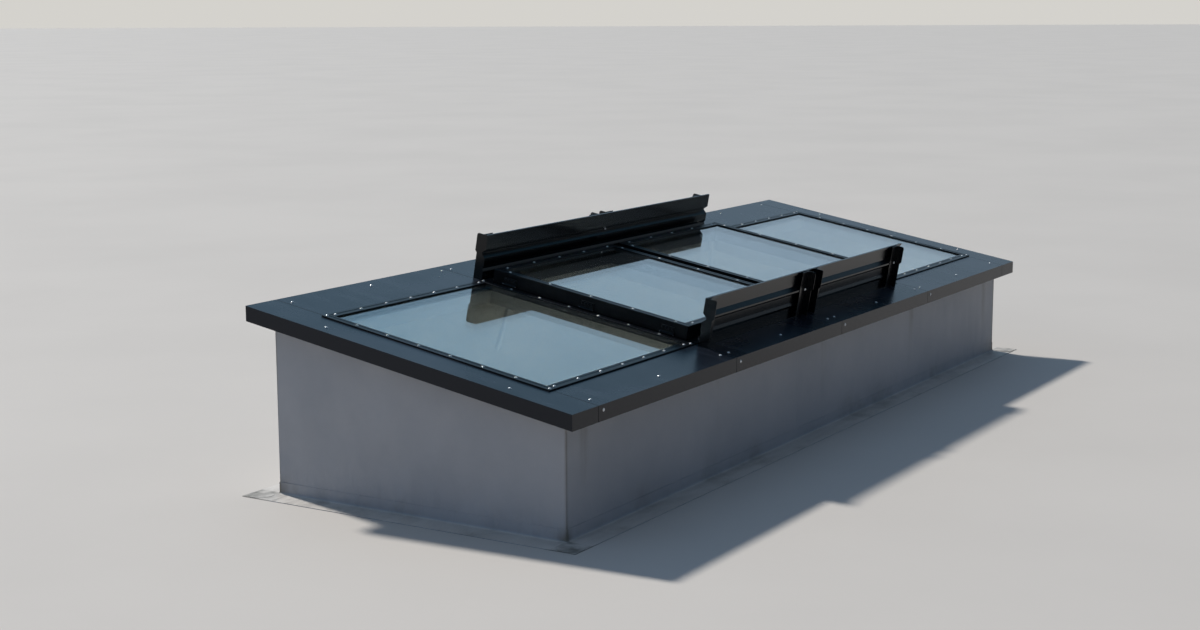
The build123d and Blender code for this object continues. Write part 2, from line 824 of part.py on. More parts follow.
def drive_spindle():
    """Spindle with a slotted eye for the lug's pin."""
    inward, outward = chord_play()
    room = lug_pin_radius + lug_pin_clearance
    low = chord(0) + inward - room
    high = chord(0) + outward + room
    half = room + eye_wall
    shoulder = low - eye_wall + eye_root
    rod = upright(spindle_radius, -drive_travel - spindle_overlap, shoulder)
    outline = SlotOverall(high - low + 2 * eye_wall, 2 * half, rotation=90)
    slot = SlotOverall(high - low, 2 * room, rotation=90)
    eye = extrude(Plane.XZ * Pos(0, (low + high) / 2) * (outline - slot), eye_width / 2, both=True)
    return rod + eye


def drive_bracket():
    """Swivel bracket on the head rail: two arms joined by a bridge beside the collar."""
    x, w = trunnion_place()
    back = drive_bracket_back
    plate = drive_plate
    half = collar_radius - plate
    outer_v = -opening_v
    inner_v = -opening_v + 2 * drive_inset - plate - drive_plate_gap
    arms = []
    for v in (outer_v, inner_v):
        arm = block(x - back, x, v, v + plate, w - half, w + half)
        nose = extrude(Plane.XZ.offset(-v - plate) * Pos(x, w) * Circle(half), plate)
        arms.append(arm + nose)
    bridge = block(x - back, x - back + plate, outer_v, inner_v + plate, w - half, w + half / 2)
    bracket = fuse(arms + [bridge])
    hole = Pos(x, -opening_v + drive_inset, w) * Rot(90, 0, 0) * Cylinder(
        trunnion_radius + trunnion_clearance, 4 * drive_inset)
    return on_slope(bracket - hole)


# Wind deflectors, drawn by distance outward from their inner face and height above the flashing


def deflector_line():
    """Inner face of the panel from its foot to its top, with the pressed groove and rib."""
    groove = deflector_groove_height
    groove_half = deflector_groove_half
    rib = deflector_rib_height
    rib_half = deflector_rib_half
    flat = deflector_rib_flat
    points = [(0, groove - groove_half), (deflector_groove, groove), (0, groove + groove_half)]
    points += [(0, rib - rib_half), (deflector_rib, rib - flat)]
    return points + [(deflector_rib, rib + flat), (0, rib + rib_half)]


def low_side(points):
    """Place points of the deflector's section on the low side, in the field's own axes."""
    return [(-deflector_v - out, height) for out, height in points]


def deflector_panel(x0, x1):
    """Folded panel: a foot turned outward, the pressed face and a hem turned down outside."""
    top = deflector_height
    hem = deflector_hem
    points = [(deflector_foot, 0), (0, 0)] + deflector_line()
    points += [(0, top), (hem, top), (hem, top - deflector_hem_drop)]
    section = folded(low_side(points), deflector_sheet)
    return on_slope(along_x(section, x0, x1))


def gusset(x0):
    """Upright plate of a bracket, with a rounded corner and a slight waist, from the panel's inner face."""
    top = deflector_height
    reach = gusset_depth
    waist = top - gusset_waist_drop
    outer = [(reach, top), (reach, waist), (gusset_waist, waist - gusset_waist_slant), (gusset_waist, 0)]
    points = [(0, 0)] + deflector_line() + [(0, top)] + outer
    plate = along_x(make_face(Polyline(*low_side(points), close=True)), x0, x0 + deflector_sheet)
    corner = plate.edges().filter_by(Axis.X).sort_by(Axis.Z)[-2:].sort_by(Axis.Y)[0]
    return fillet(corner, gusset_corner)


def deflector_bracket(x0, way, panel):
    """Bracket of a panel: the gusset, a slotted flange against the rib and a foot, cut to the panel."""
    sheet = deflector_sheet
    near = x0 + sheet / 2
    far_end = near + way * bracket_flange
    a, b = sorted((near, far_end))
    face = -deflector_v - deflector_rib - sheet
    flange = block(a, b, face - sheet, face, sheet, deflector_height)
    foot = block(a, b, face - sheet, -deflector_v - sheet - bracket_foot_gap, sheet, 2 * sheet)
    slot = SlotOverall(bracket_slot_length, bracket_slot_width)
    place = Pos(near + way * bracket_slot_inset, deflector_height - bracket_slot_drop)
    cut = extrude(Plane.XZ.offset(-face - sheet) * place * slot, 4 * sheet, both=True)
    return on_slope(fuse([gusset(x0), flange - cut, foot])) - panel


def panel_ends():
    """Ends of the two panels on one side, with room for a gusset at each one's left end."""
    gap = deflector_joint / 2
    return [(-deflector_end, -gap), (gap + deflector_sheet, deflector_end)]


def bracket_places(x0, x1):
    """Gusset's place and flange's direction for the two brackets of a panel."""
    return [(x0 - deflector_sheet, 1), (x1 - bracket_inset, -1)]


def deflector_screws():
    """Screws at each bracket: on the flange against the rib and on the foot."""
    sheet = deflector_sheet
    head = screw_head()
    face = -deflector_v - deflector_rib - 2 * sheet
    screws = []
    for x0, x1 in panel_ends():
        for place, way in bracket_places(x0, x1):
            x = place + sheet / 2 + way * bracket_screw_inset
            screws.append(Pos(x, face, deflector_rib_height) * Rot(90, 0, 0) * head)
            screws.append(Pos(x, face + deflector_rib / 2 + sheet, 2 * sheet) * head)
    screws += [flip_v(item) for item in screws]
    return [on_slope(item) for item in screws]


def build_kerb():
    save("kerb_side_walls", [kerb_side_wall(-1), kerb_side_wall(1)])
    end = kerb_end_wall()
    save("kerb_end_walls", [end, flip_x(end)])
    save("kerb_insulation", insulation_boards())
    save("kerb_membrane", kerb_skin())
    long_strip = skirt_strip(kerb_width / 2, kerb_length)
    end_strip = Rot(0, 0, 90) * skirt_strip(kerb_length / 2, kerb_width)
    save("membrane_skirt", [long_strip, flip_v(long_strip), end_strip, flip_x(end_strip)])


def build_bars():
    save("base_side_rails", [side_rail(-1), side_rail(1)])
    end = end_rail()
    save("base_end_rails", [end, flip_x(end)])
    rafter = vent_rafter()
    save("vent_rafters", [rafter, flip_x(rafter)])
    save("centre_rafter", [centre_rafter()])
    save("edge_packers", packers())


def build_fixed_glazing():
    x0 = -edge_x + glass_setback
    x1 = -vent_bar_position - glass_setback
    outer, spacer, inner = pane(x0, x1, edge_v - glass_setback, 0, glass_sheet, glass_gap)
    save("fixed_glass_left", [outer])
    save("fixed_glass_right", [flip_x(outer)])
    save("fixed_glass_spacers", [spacer, flip_x(spacer)])
    save("fixed_inner_glass", [inner, flip_x(inner)])
    save("fixed_gaskets", fixed_gaskets())
    plates = plate_frame(-edge_x, -vent_bar_position, edge_v, plate_bottom)
    save("pressure_plates", plates + [flip_x(plate) for plate in plates] + edge_strips())
    screws = plate_screws(-edge_x, -vent_bar_position, edge_v, plate_top,
                          side_screw_pitch, side_screw_margin, long_screw_pitch, long_screw_margin)
    save("plate_screws", screws + [flip_x(item) for item in screws] + strip_screws())


def build_flashing():
    save("flashing_low", flashing_side(-1))
    save("flashing_high", flashing_side(1))
    end = flashing_end()
    save("flashing_end_left", [end])
    save("flashing_end_right", [flip_x(end)])
    save("flashing_straps", flashing_straps())
    save("flashing_screws", flashing_screws())


def build_upstands():
    frame = upstand()
    save("vent_upstands", [frame, flip_x(frame)])
    strip = seal()
    save("vent_seals", [strip, flip_x(strip)])
    save("centre_gutter", [centre_gutter()])
    straps = [hinge_strap(v) for v in hinge_places()]
    pins = [hinge_pin(v) for v in hinge_places()]
    save("hinge_straps", straps + [flip_x(item) for item in straps])
    save("hinge_pins", pins + [flip_x(item) for item in pins])


def flap_pieces():
    """Every piece of the left flap by its name."""
    x0 = flap_x0 + flap_glass_inset
    x1 = flap_x1 - flap_glass_inset
    v = flap_v - flap_glass_inset
    outer, spacer, inner = pane(x0, x1, v, flap_glass_top, flap_glass_sheet, flap_glass_gap)
    px0 = flap_x0 + plate_width / 2
    px1 = flap_x1 - plate_width / 2
    pv = flap_v - plate_width / 2
    half_margin = flap_screw_margin / 2
    return {
        "casement": [casement()],
        "glass": [outer],
        "glass_spacer": [spacer],
        "inner_glass": [inner],
        "gaskets": flap_gaskets(),
        "plates": plate_frame(px0, px1, pv, flap_plate_bottom),
        "screws": plate_screws(px0, px1, pv, flap_top, flap_screw_pitch, flap_screw_margin,
                               flap_screw_pitch, half_margin),
        "hinge_leaves": [hinge_leaf(v) for v in hinge_places()],
    }


def build_flaps():
    for name, parts in flap_pieces().items():
        save("flap_" + name + "_left", parts)
        save("flap_" + name + "_right", [flip_x(part) for part in parts])


def flip_high(part):
    """Mirror image of a part that is already on the slope, on the field's other side."""
    return on_slope(flip_v(Rot(-slope, 0, 0) * Pos(0, -field_y, -field_z) * part))


def build_drives():
    housing = place_drive(drive_housing())
    spindle = place_drive(drive_spindle())
    bracket = drive_bracket()
    brackets = [bracket, flip_high(bracket)]
    save("drive_brackets", brackets + [flip_x(item) for item in brackets])
    for name, part in (("drive_housing", housing), ("drive_spindle", spindle)):
        high = flip_high(part)
        save(name + "_low_left", [part])
        save(name + "_low_right", [flip_x(part)])
        save(name + "_high_left", [high])
        save(name + "_high_right", [flip_x(high)])


def build_deflectors():
    brackets = []
    for (x0, x1), end in zip(panel_ends(), ("left", "right")):
        panel = deflector_panel(x0, x1)
        save("deflector_low_" + end, [panel])
        save("deflector_high_" + end, [flip_high(panel)])
        brackets += [deflector_bracket(place, way, panel) for place, way in bracket_places(x0, x1)]
    save("deflector_brackets", brackets + [flip_high(item) for item in brackets])
    save("deflector_screws", deflector_screws())


os.makedirs("parts", exist_ok=True)
build_kerb()
build_bars()
build_fixed_glazing()
build_flashing()
build_upstands()
build_flaps()
build_drives()
build_deflectors()
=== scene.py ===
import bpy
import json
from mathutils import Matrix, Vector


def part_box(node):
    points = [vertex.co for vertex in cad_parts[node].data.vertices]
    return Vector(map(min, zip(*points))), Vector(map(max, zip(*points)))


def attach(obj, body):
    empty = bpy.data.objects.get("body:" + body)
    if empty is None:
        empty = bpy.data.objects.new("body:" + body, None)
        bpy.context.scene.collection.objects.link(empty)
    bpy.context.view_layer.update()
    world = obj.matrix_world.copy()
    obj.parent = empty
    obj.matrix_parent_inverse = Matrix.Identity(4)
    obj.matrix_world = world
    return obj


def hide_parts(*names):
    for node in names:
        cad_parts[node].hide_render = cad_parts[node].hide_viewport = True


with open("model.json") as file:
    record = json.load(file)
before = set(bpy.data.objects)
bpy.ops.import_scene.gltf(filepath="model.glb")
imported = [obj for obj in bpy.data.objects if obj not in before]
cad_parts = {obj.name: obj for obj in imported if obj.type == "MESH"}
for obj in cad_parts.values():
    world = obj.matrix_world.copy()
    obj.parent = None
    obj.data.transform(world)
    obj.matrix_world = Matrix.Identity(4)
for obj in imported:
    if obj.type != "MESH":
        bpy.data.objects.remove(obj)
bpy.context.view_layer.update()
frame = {"nodes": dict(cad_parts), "record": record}

import json
import math

import bmesh
import bpy
from mathutils import Matrix, Vector

# Camera fitted to the photograph, in pixels, metres, degrees and millimetres
photo_width = 1200
focal_pixels = 1888.98
camera_place = (-10.9857, -5.9951, 2.7397)
camera_azimuth = -58.4346
camera_elevation = 9.4625
camera_roll = -0.2007
camera_reach = 200.0
sensor_width = 36.0

# Lamp
key_direction = (0.18, 0.69, 0.70)
key_strength = 3.4
key_softness = math.radians(4)
key_tone = (1.0, 0.96, 0.91)

# World: the fill, the backdrop, and the sky that glass and gloss mirror
fill_strength = 0.46
fill_shade = 0.45
fill_span = (-0.8, 0.5)
fill_tone = (0.46, 0.63, 0.9, 1)
backdrop_tone = (0.66, 0.645, 0.61, 1)
mirror_strength = 0.82
mirror_shade = 0.35
mirror_span = (-0.5, 0.6)
sky_span = (0.22, 0.5)
sky_low = (0.52, 0.69, 0.86, 1)
sky_high = (0.11, 0.36, 0.58, 1)
cloud_scale = 3.2
cloud_span = (0.42, 0.75)
cloud_cover = 0.35
cloud_tone = (0.74, 0.86, 0.95, 1)

# Floor
floor_size = 400.0
floor_drop = 0.0005
floor_tone = (0.6, 0.565, 0.52, 1)
floor_mottle = 0.95

# Tones of sheet, metal, rubber, plastic and foam
anthracite = (0.006, 0.0085, 0.0145, 1)
black = (0.0022, 0.0026, 0.0036, 1)
soot = (0.004, 0.0046, 0.006, 1)
grey = (0.16, 0.165, 0.17, 1)
bronze = (0.42, 0.41, 0.39, 1)
white = (0.7, 0.68, 0.64, 1)
# Bluish tone of the dust on upward faces: real dust, tinted blue as a painted reflection of the sky
dust_and_sky_tone = (0.15, 0.18, 0.235, 1)
pale_dust = (0.4, 0.39, 0.37, 1)
screw_steel = (0.86, 0.86, 0.85, 1)
strap_steel = (0.55, 0.56, 0.57, 1)
spindle_steel = (0.72, 0.72, 0.71, 1)
aluminium = (0.66, 0.67, 0.68, 1)
rubber = (0.014, 0.014, 0.015, 1)
worn_rubber = (0.022, 0.022, 0.022, 1)
sealant = (0.03, 0.03, 0.03, 1)
worn_sealant = (0.045, 0.045, 0.045, 1)
plastic = (0.06, 0.06, 0.06, 1)
worn_plastic = (0.085, 0.085, 0.08, 1)
foam = (0.66, 0.6, 0.42, 1)
worn_foam = (0.58, 0.53, 0.37, 1)

# Dust on the coated sheets, which in its bluish tone also paints the sky's reflection on upward faces, and
# the dull stains and drawn lines of bare metal
dust_patches = 0.8
dust_runs = 0.5
dust_specks = 0.25
stain_shade = 0.72
smoothest_line = 0.8
roughest_line = 1.3

# Glass
glass_tone = (0.93, 0.955, 0.95, 1)
glass_sheen = (0.8, 0.93, 1.0, 1)
glass_shadow = (0.84, 0.88, 0.88, 1)
glass_dust_tone = (0.75, 0.76, 0.74, 1)
glass_dust = 0.12

# Kerb, and the joints of the flashing above it
kerb_half_length = 3.12
kerb_half_width = 0.955
wider_than_part = 20.0
joint_pitch = 1.46
joint_reach = 2.2
joint_blend = 0.1
joint_end = 2.982
joint_line = 0.004
joint_dullness = 0.5
joint_tone = (0.0004, 0.0004, 0.0005, 1)

# Membrane
membrane_dark = (0.34, 0.35, 0.375, 1)
membrane_light = (0.41, 0.415, 0.435, 1)
skirt_dark = (0.55, 0.52, 0.48, 1)
skirt_light = (0.62, 0.585, 0.54, 1)
skirt_top = 0.003
skirt_span = (0.04, 0.01)
dirt_tone = (0.2, 0.185, 0.16, 1)
streak_width = 0.06
streak_sway = 0.05
streak_span = (0.12, 0.62)
streak_dirt = 0.85
foot_height = 0.2
foot_dirt = 0.5
seam_end_span = (0.024, 0.01)
seam_side_span = (0.012, 0.0)
seam_dirt = 0.9
smudge_span = (0.08, 0.0)
smudge_height = 0.12
smudge_dirt = 0.7
lap_pitch = 1.5
lap_offset = 0.42
lap_edge = 0.004
lap_relief = 0.03
wave_relief = 0.5
pucker_relief = 0.35
pucker_height = 0.3
grain_relief = 0.006
patch_radius = 0.075
patch_top = 0.985
patch_thickness = 0.0016
patch_sides = 40

# Directions
upright = Vector((0, 0, 1))
along_kerb = Vector((1, 0, 0))
slope = math.radians(10)
up_slope = Vector((0, math.cos(slope), math.sin(slope)))
off_slope = Vector((0, -math.sin(slope), math.cos(slope)))
mostly = 0.5

# Screws
weld_distance = 1e-6
washer_radius = 0.0095
washer_height = 0.0012
washer_foot = 0.98
washer_rim = 0.95
head_radius = 0.0072
head_height = 0.0046
head_foot = 1.02
head_sides = 20
dome_angles = (0.0, 0.35, 0.7, 1.0)
socket_radius = 0.0024
socket_depth = 0.0016
socket_rim = 0.985
socket_taper = 0.92
turn_step = 0.37
leaf_screw_drop = 0.013
leaf_screw_shares = (0.12, 0.38, 0.62, 0.88)

# Bolt ends where the deflector's panels meet
bolt_reach = 0.08
bolt_grip = 0.006
bolt_drop = 0.13
rib_depth = 0.026


# Shader nodes


def node(tree, kind, settings=None, **inputs):
    """Add a shader node, and set or link its inputs by name."""
    made = tree.nodes.new("ShaderNode" + kind)
    for name, value in (settings or {}).items():
        setattr(made, name, value)
    for name, value in inputs.items():
        connect(tree, made.inputs[name.replace("_", " ")], value)
    return made


def connect(tree, socket, value):
    """Link a socket to another, or set its value."""
    if isinstance(value, bpy.types.NodeSocket):
        tree.links.new(value, socket)
    else:
        socket.default_value = value


def material(name, **inputs):
    """New material with one Principled shader, and its node tree."""
    made = bpy.data.materials.new(name)
    made.use_nodes = True
    tree = made.node_tree
    shader = tree.nodes["Principled BSDF"]
    for socket, value in inputs.items():
        shader.inputs[socket.replace("_", " ")].default_value = value
    return made, tree, shader


def dimmed(colour, share):
    """Colour with a share of its brightness."""
    return tuple(channel * share for channel in colour[:3]) + (1,)


def place(tree, scale=(1, 1, 1)):
    """Coordinates in the object's own frame, stretched."""
    coordinates = node(tree, "TexCoord")
    mapping = node(tree, "Mapping", Vector=coordinates.outputs["Object"], Scale=scale)
    return mapping.outputs["Vector"]


def object_axes(tree):
    """Sockets of the X, Y and Z of the object's own frame."""
    coordinates = node(tree, "TexCoord")
    axes = node(tree, "SeparateXYZ", Vector=coordinates.outputs["Object"])
    return [axes.outputs[name] for name in "XYZ"]


def noise(tree, vector, scale, detail, roughness=0.55):
    """Noise between 0 and 1."""
    made = node(tree, "TexNoise", Vector=vector, Scale=scale, Detail=detail, Roughness=roughness)
    return made.outputs["Fac"]


def spread_range(tree, value, low, high, to_low=0.0, to_high=1.0):
    """Map a range of values on to another, smoothly and clamped."""
    made = node(tree, "MapRange", {"interpolation_type": "SMOOTHSTEP"}, Value=value,
                From_Min=low, From_Max=high, To_Min=to_low, To_Max=to_high)
    return made.outputs["Result"]


def mix(tree, factor, low, high):
    """Mix two colours."""
    made = tree.nodes.new("ShaderNodeMix")
    made.data_type = "RGBA"
    # For colours, the factor and the two colours are inputs 0, 6 and 7, and the result is output 2
    for index, value in ((0, factor), (6, low), (7, high)):
        connect(tree, made.inputs[index], value)
    return made.outputs[2]


def maths(tree, operation, first, second, clamped=False):
    """Result of an operation on two values."""
    made = node(tree, "Math", {"operation": operation, "use_clamp": clamped})
    connect(tree, made.inputs[0], first)
    connect(tree, made.inputs[1], second)
    return made.outputs[0]


def times(tree, first, second):
    """Product of two values."""
    return maths(tree, "MULTIPLY", first, second)


def plus(tree, first, second):
    """Sum of two values, kept under one."""
    return maths(tree, "ADD", first, second, clamped=True)


def shifted(tree, value, shift):
    """Value moved by a number or by another value."""
    return maths(tree, "ADD", value, shift)


def from_nearest(tree, value, pitch):
    """Distance to the nearest multiple of a pitch."""
    return maths(tree, "PINGPONG", value, pitch / 2)


def from_middle(tree, value):
    """Distance to the part's middle, by a pitch wider than the part."""
    return from_nearest(tree, value, wider_than_part)


def bump(tree, shader, height, distance, strength):
    """Relief from a height."""
    made = node(tree, "Bump", Height=height, Distance=distance, Strength=strength)
    tree.links.new(made.outputs["Normal"], shader.inputs["Normal"])


def joined_by(tree, factor, first, second):
    """Mix of two shaders."""
    made = node(tree, "MixShader")
    tree.links.new(factor, made.inputs[0])
    tree.links.new(first.outputs[0], made.inputs[1])
    tree.links.new(second.outputs[0], made.inputs[2])
    return made


def facing_up(tree):
    """How far a surface faces the sky, from 0 to 1."""
    geometry = node(tree, "NewGeometry")
    axes = node(tree, "SeparateXYZ", Vector=geometry.outputs["Normal"])
    return spread_range(tree, axes.outputs["Z"], low=0.4, high=0.95)


# Materials


def joint_lines(tree):
    """Thin lines of dirt where the flashing's sheets meet."""
    along = object_axes(tree)[0]
    off_middle = from_middle(tree, along)
    between = spread_range(tree, from_nearest(tree, along, joint_pitch), joint_line, 0.0)
    inner = spread_range(tree, off_middle, joint_reach, joint_reach - joint_blend)
    at_ends = spread_range(tree, from_nearest(tree, off_middle, joint_end), joint_line, 0.0)
    outer = spread_range(tree, off_middle, joint_reach, joint_reach + joint_blend)
    return plus(tree, times(tree, between, inner), times(tree, at_ends, outer))


def dust_and_sky_film(tree, amount):
    """Film of dust on what faces up, patchy, run down the slope and specked; with a bluish dust tone it
    also carries a painted sky reflection.
    """
    patches = spread_range(tree, noise(tree, place(tree), scale=1.7, detail=6.0), low=0.35, high=0.75)
    down_slope = noise(tree, place(tree, (9, 1.0, 1.0)), scale=1.0, detail=5.0)
    runs = spread_range(tree, down_slope, low=0.45, high=0.8, to_high=dust_runs)
    worn = times(tree, plus(tree, times(tree, patches, dust_patches), runs), amount)
    film = times(tree, facing_up(tree), worn)
    grains = noise(tree, place(tree), scale=320.0, detail=2.0)
    specks = spread_range(tree, grains, low=0.66, high=0.8, to_high=dust_specks)
    return plus(tree, film, times(tree, specks, film))


def coated(name, colour, dust, smooth, rough, amount, gloss=0.3, jointed=False):
    """Powder-coated sheet under an amount of dust, rougher where the dust lies; a bluish dust colour also
    paints the sky's reflection on upward faces.
    """
    made, tree, shader = material(name, Specular_IOR_Level=gloss)
    dust_and_sky_share = dust_and_sky_film(tree, amount)
    # Where the dust colour is bluish, this mix paints a sky reflection on upward faces along with the dust
    tone = mix(tree, dust_and_sky_share, colour, dust)
    roughness = spread_range(tree, dust_and_sky_share, low=0.0, high=0.6, to_low=smooth, to_high=rough)
    if jointed:
        lines = joint_lines(tree)
        tone = mix(tree, lines, tone, joint_tone)
        roughness = plus(tree, roughness, times(tree, lines, joint_dullness))
    connect(tree, shader.inputs["Base Color"], tone)
    connect(tree, shader.inputs["Roughness"], roughness)
    peel = noise(tree, place(tree), scale=420.0, detail=2.0)
    bump(tree, shader, peel, distance=0.00012, strength=0.25)
    return made


def metal(name, colour, roughness, brushing, metallic=1.0):
    """Bare metal with fine drawn lines and dull stains."""
    made, tree, shader = material(name, Metallic=metallic)
    lines = noise(tree, place(tree, brushing), scale=1.0, detail=4.0)
    stains = spread_range(tree, noise(tree, place(tree), scale=60.0, detail=4.0), low=0.4, high=0.7)
    connect(tree, shader.inputs["Base Color"], mix(tree, stains, colour, dimmed(colour, stain_shade)))
    drawn = spread_range(tree, lines, low=0.3, high=0.7, to_low=roughness * smoothest_line,
                         to_high=roughness * roughest_line)
    connect(tree, shader.inputs["Roughness"], drawn)
    bump(tree, shader, lines, distance=0.00006, strength=0.2)
    return made


def membrane_colour(tree):
    """Mottled grey on the kerb, and the roof's beige on the skirt."""
    z = object_axes(tree)[2]
    mottle = noise(tree, place(tree), scale=1.1, detail=8.0, roughness=0.62)
    clouds = spread_range(tree, mottle, low=0.3, high=0.72)
    on_kerb = mix(tree, clouds, membrane_dark, membrane_light)
    on_roof = mix(tree, clouds, skirt_dark, skirt_light)
    return mix(tree, times(tree, facing_up(tree), spread_range(tree, z, *skirt_span)), on_kerb, on_roof)


def near_edge(tree, value, edge, span):
    """How near a value is to an edge on either side of the middle, from 0 to 1."""
    outermost, innermost = span
    return spread_range(tree, from_middle(tree, value), edge - outermost, edge - innermost)


def near_corner(tree, end_span, side_span):
    """How near a place is to the kerb's upright edges, from 0 to 1."""
    x, y, _ = object_axes(tree)
    at_end = near_edge(tree, x, kerb_half_length, end_span)
    at_side = near_edge(tree, y, kerb_half_width, side_span)
    return times(tree, at_end, at_side)


def membrane_dirt(tree):
    """Streaks under the flashing's joints, stains at the foot, and dark seams at the corners."""
    x, _, z = object_axes(tree)
    sway = times(tree, noise(tree, place(tree, (1, 1, 3)), scale=4.0, detail=4.0), streak_sway)
    streaks = spread_range(tree, from_nearest(tree, shifted(tree, x, sway), joint_pitch), streak_width, 0.0)
    upright_patches = noise(tree, place(tree, (9, 9, 1.2)), scale=1.0, detail=5.0)
    patchy = spread_range(tree, upright_patches, low=0.3, high=0.7)
    fall = times(tree, spread_range(tree, z, *streak_span), streak_dirt)
    stain_noise = noise(tree, place(tree), scale=2.6, detail=7.0, roughness=0.65)
    blots = spread_range(tree, stain_noise, low=0.48, high=0.75)
    stains = times(tree, spread_range(tree, z, foot_height, 0.0), blots)
    seams = near_corner(tree, seam_end_span, seam_side_span)
    on_wall = spread_range(tree, facing_up(tree), low=0.5, high=0.0)
    smudges = times(tree, near_corner(tree, smudge_span, smudge_span), on_wall)
    low_down = times(tree, spread_range(tree, z, smudge_height, 0.0), smudge_dirt)
    dirt = plus(tree, times(tree, times(tree, streaks, patchy), fall), times(tree, stains, foot_dirt))
    dirt = plus(tree, dirt, times(tree, seams, times(tree, patchy, seam_dirt)))
    return plus(tree, dirt, times(tree, smudges, low_down))


def membrane_relief(tree):
    """Slow waves, puckers at the foot, the laps of the sheets and a fine grain."""
    x, _, z = object_axes(tree)
    waves = noise(tree, place(tree, (1, 1, 0.6)), scale=2.4, detail=2.0)
    creases = noise(tree, place(tree, (1, 2.2, 1)), scale=5.0, detail=3.0, roughness=0.4)
    puckers = times(tree, times(tree, creases, spread_range(tree, z, pucker_height, 0.0)), pucker_relief)
    lap = spread_range(tree, from_nearest(tree, shifted(tree, x, lap_offset), lap_pitch), 0.0, lap_edge)
    grain = noise(tree, place(tree), scale=900.0, detail=1.0)
    fine = plus(tree, times(tree, grain, grain_relief), times(tree, lap, lap_relief))
    return plus(tree, plus(tree, times(tree, waves, wave_relief), puckers), fine)


def membrane_material():
    """Light grey roofing membrane."""
    made, tree, shader = material("membrane", Roughness=0.55, Specular_IOR_Level=0.35)
    tone = mix(tree, membrane_dirt(tree), membrane_colour(tree), dirt_tone)
    connect(tree, shader.inputs["Base Color"], tone)
    bump(tree, shader, membrane_relief(tree), distance=0.09, strength=0.8)
    return made


def glass_material():
    """Coated insulating glass: it mirrors the sky faintly blue and lets lamps through."""
    made, tree, shader = material("glass", IOR=1.6, Transmission_Weight=1.0, Specular_Tint=glass_sheen)
    down_slope = noise(tree, place(tree, (11, 1.5, 1.5)), scale=1.0, detail=5.0)
    dust = spread_range(tree, down_slope, low=0.45, high=0.8)
    tone = mix(tree, times(tree, dust, glass_dust), glass_tone, glass_dust_tone)
    connect(tree, shader.inputs["Base Color"], tone)
    roughness = spread_range(tree, dust, low=0.0, high=1.0, to_low=0.01, to_high=0.04)
    connect(tree, shader.inputs["Roughness"], roughness)
    through = node(tree, "BsdfTransparent", Color=glass_shadow)
    path = node(tree, "LightPath")
    joined = joined_by(tree, path.outputs["Is Shadow Ray"], shader, through)
    tree.links.new(joined.outputs[0], tree.nodes["Material Output"].inputs["Surface"])
    return made


def moulded(name, colour, other, roughness, grain=300.0):
    """Matt rubber, plastic or foam with a fine grain."""
    made, tree, shader = material(name, Roughness=roughness)
    patches = spread_range(tree, noise(tree, place(tree), scale=24.0, detail=4.0), low=0.35, high=0.7)
    connect(tree, shader.inputs["Base Color"], mix(tree, patches, colour, other))
    bump(tree, shader, noise(tree, place(tree), scale=grain, detail=2.0), distance=0.0003, strength=0.35)
    return made


def floor_material():
    """Pale plain floor that keeps the shadow."""
    made, tree, shader = material("floor", Roughness=0.8)
    patches = spread_range(tree, noise(tree, place(tree), scale=0.35, detail=6.0), low=0.3, high=0.75)
    tone = mix(tree, patches, floor_tone, dimmed(floor_tone, floor_mottle))
    connect(tree, shader.inputs["Base Color"], tone)
    bump(tree, shader, noise(tree, place(tree), scale=14.0, detail=4.0), distance=0.002, strength=0.2)
    return made


def make_materials():
    """One material for each slot of the record."""
    bar = coated("bar", bronze, dust_and_sky_tone, smooth=0.4, rough=0.55, amount=0.1)
    return {
        "flashing": coated("flashing", anthracite, dust_and_sky_tone, smooth=0.27, rough=0.42, amount=0.16,
                           gloss=0.26, jointed=True),
        "deflector": coated("deflector", black, dust_and_sky_tone, smooth=0.2, rough=0.4, amount=0.05, gloss=0.34),
        "plate": coated("plate", black, dust_and_sky_tone, smooth=0.3, rough=0.5, amount=0.1, gloss=0.2),
        "casement": coated("casement", black, dust_and_sky_tone, smooth=0.3, rough=0.5, amount=0.1, gloss=0.12),
        "hinge": coated("hinge", soot, dust_and_sky_tone, smooth=0.35, rough=0.55, amount=0.1, gloss=0.15),
        "upstand": coated("upstand", anthracite, dust_and_sky_tone, smooth=0.4, rough=0.6, amount=0.1),
        "gutter": bar,
        "bar": bar,
        "bracket": coated("bracket", grey, dust_and_sky_tone, smooth=0.4, rough=0.55, amount=0.05),
        "liner": coated("liner", white, pale_dust, smooth=0.4, rough=0.6, amount=0.1),
        "screw": metal("screw", screw_steel, roughness=0.24, brushing=(300, 300, 300), metallic=0.35),
        "strap": metal("strap", strap_steel, roughness=0.45, brushing=(8, 8, 200)),
        "housing": metal("housing", aluminium, roughness=0.35, brushing=(400, 400, 12)),
        "spindle": metal("spindle", spindle_steel, roughness=0.22, brushing=(400, 400, 900)),
        "membrane": membrane_material(),
        "glass": glass_material(),
        "gasket": moulded("gasket", rubber, worn_rubber, roughness=0.65),
        "spacer": moulded("spacer", sealant, worn_sealant, roughness=0.55),
        "packer": moulded("packer", plastic, worn_plastic, roughness=0.8),
        "insulation": moulded("insulation", foam, worn_foam, roughness=0.85, grain=90.0),
    }


def dress_nodes(materials):
    """Give each CAD node its slot's material."""
    for part in frame["record"]["subparts"]:
        thing = frame["nodes"][part["node"]]
        chosen = materials[part["material_slot"]]
        thing.data.materials.clear()
        thing.data.materials.append(chosen)


# Pieces


def finish_mesh(name, mesh, chosen):
    """Make an object of a mesh under construction."""
    bmesh.ops.recalc_face_normals(mesh, faces=mesh.faces)
    data = bpy.data.meshes.new(name)
    mesh.to_mesh(data)
    mesh.free()
    data.materials.append(chosen)
    thing = bpy.data.objects.new(name, data)
    bpy.context.scene.collection.objects.link(thing)
    return thing


def connected(start):
    """Vertices that edges join to one vertex, itself among them."""
    group = []
    seen = {start}
    stack = [start]
    while stack:
        vertex = stack.pop()
        group.append(vertex)
        for edge in vertex.link_edges:
            other = edge.other_vert(vertex)
            if other not in seen:
                seen.add(other)
                stack.append(other)
    return group


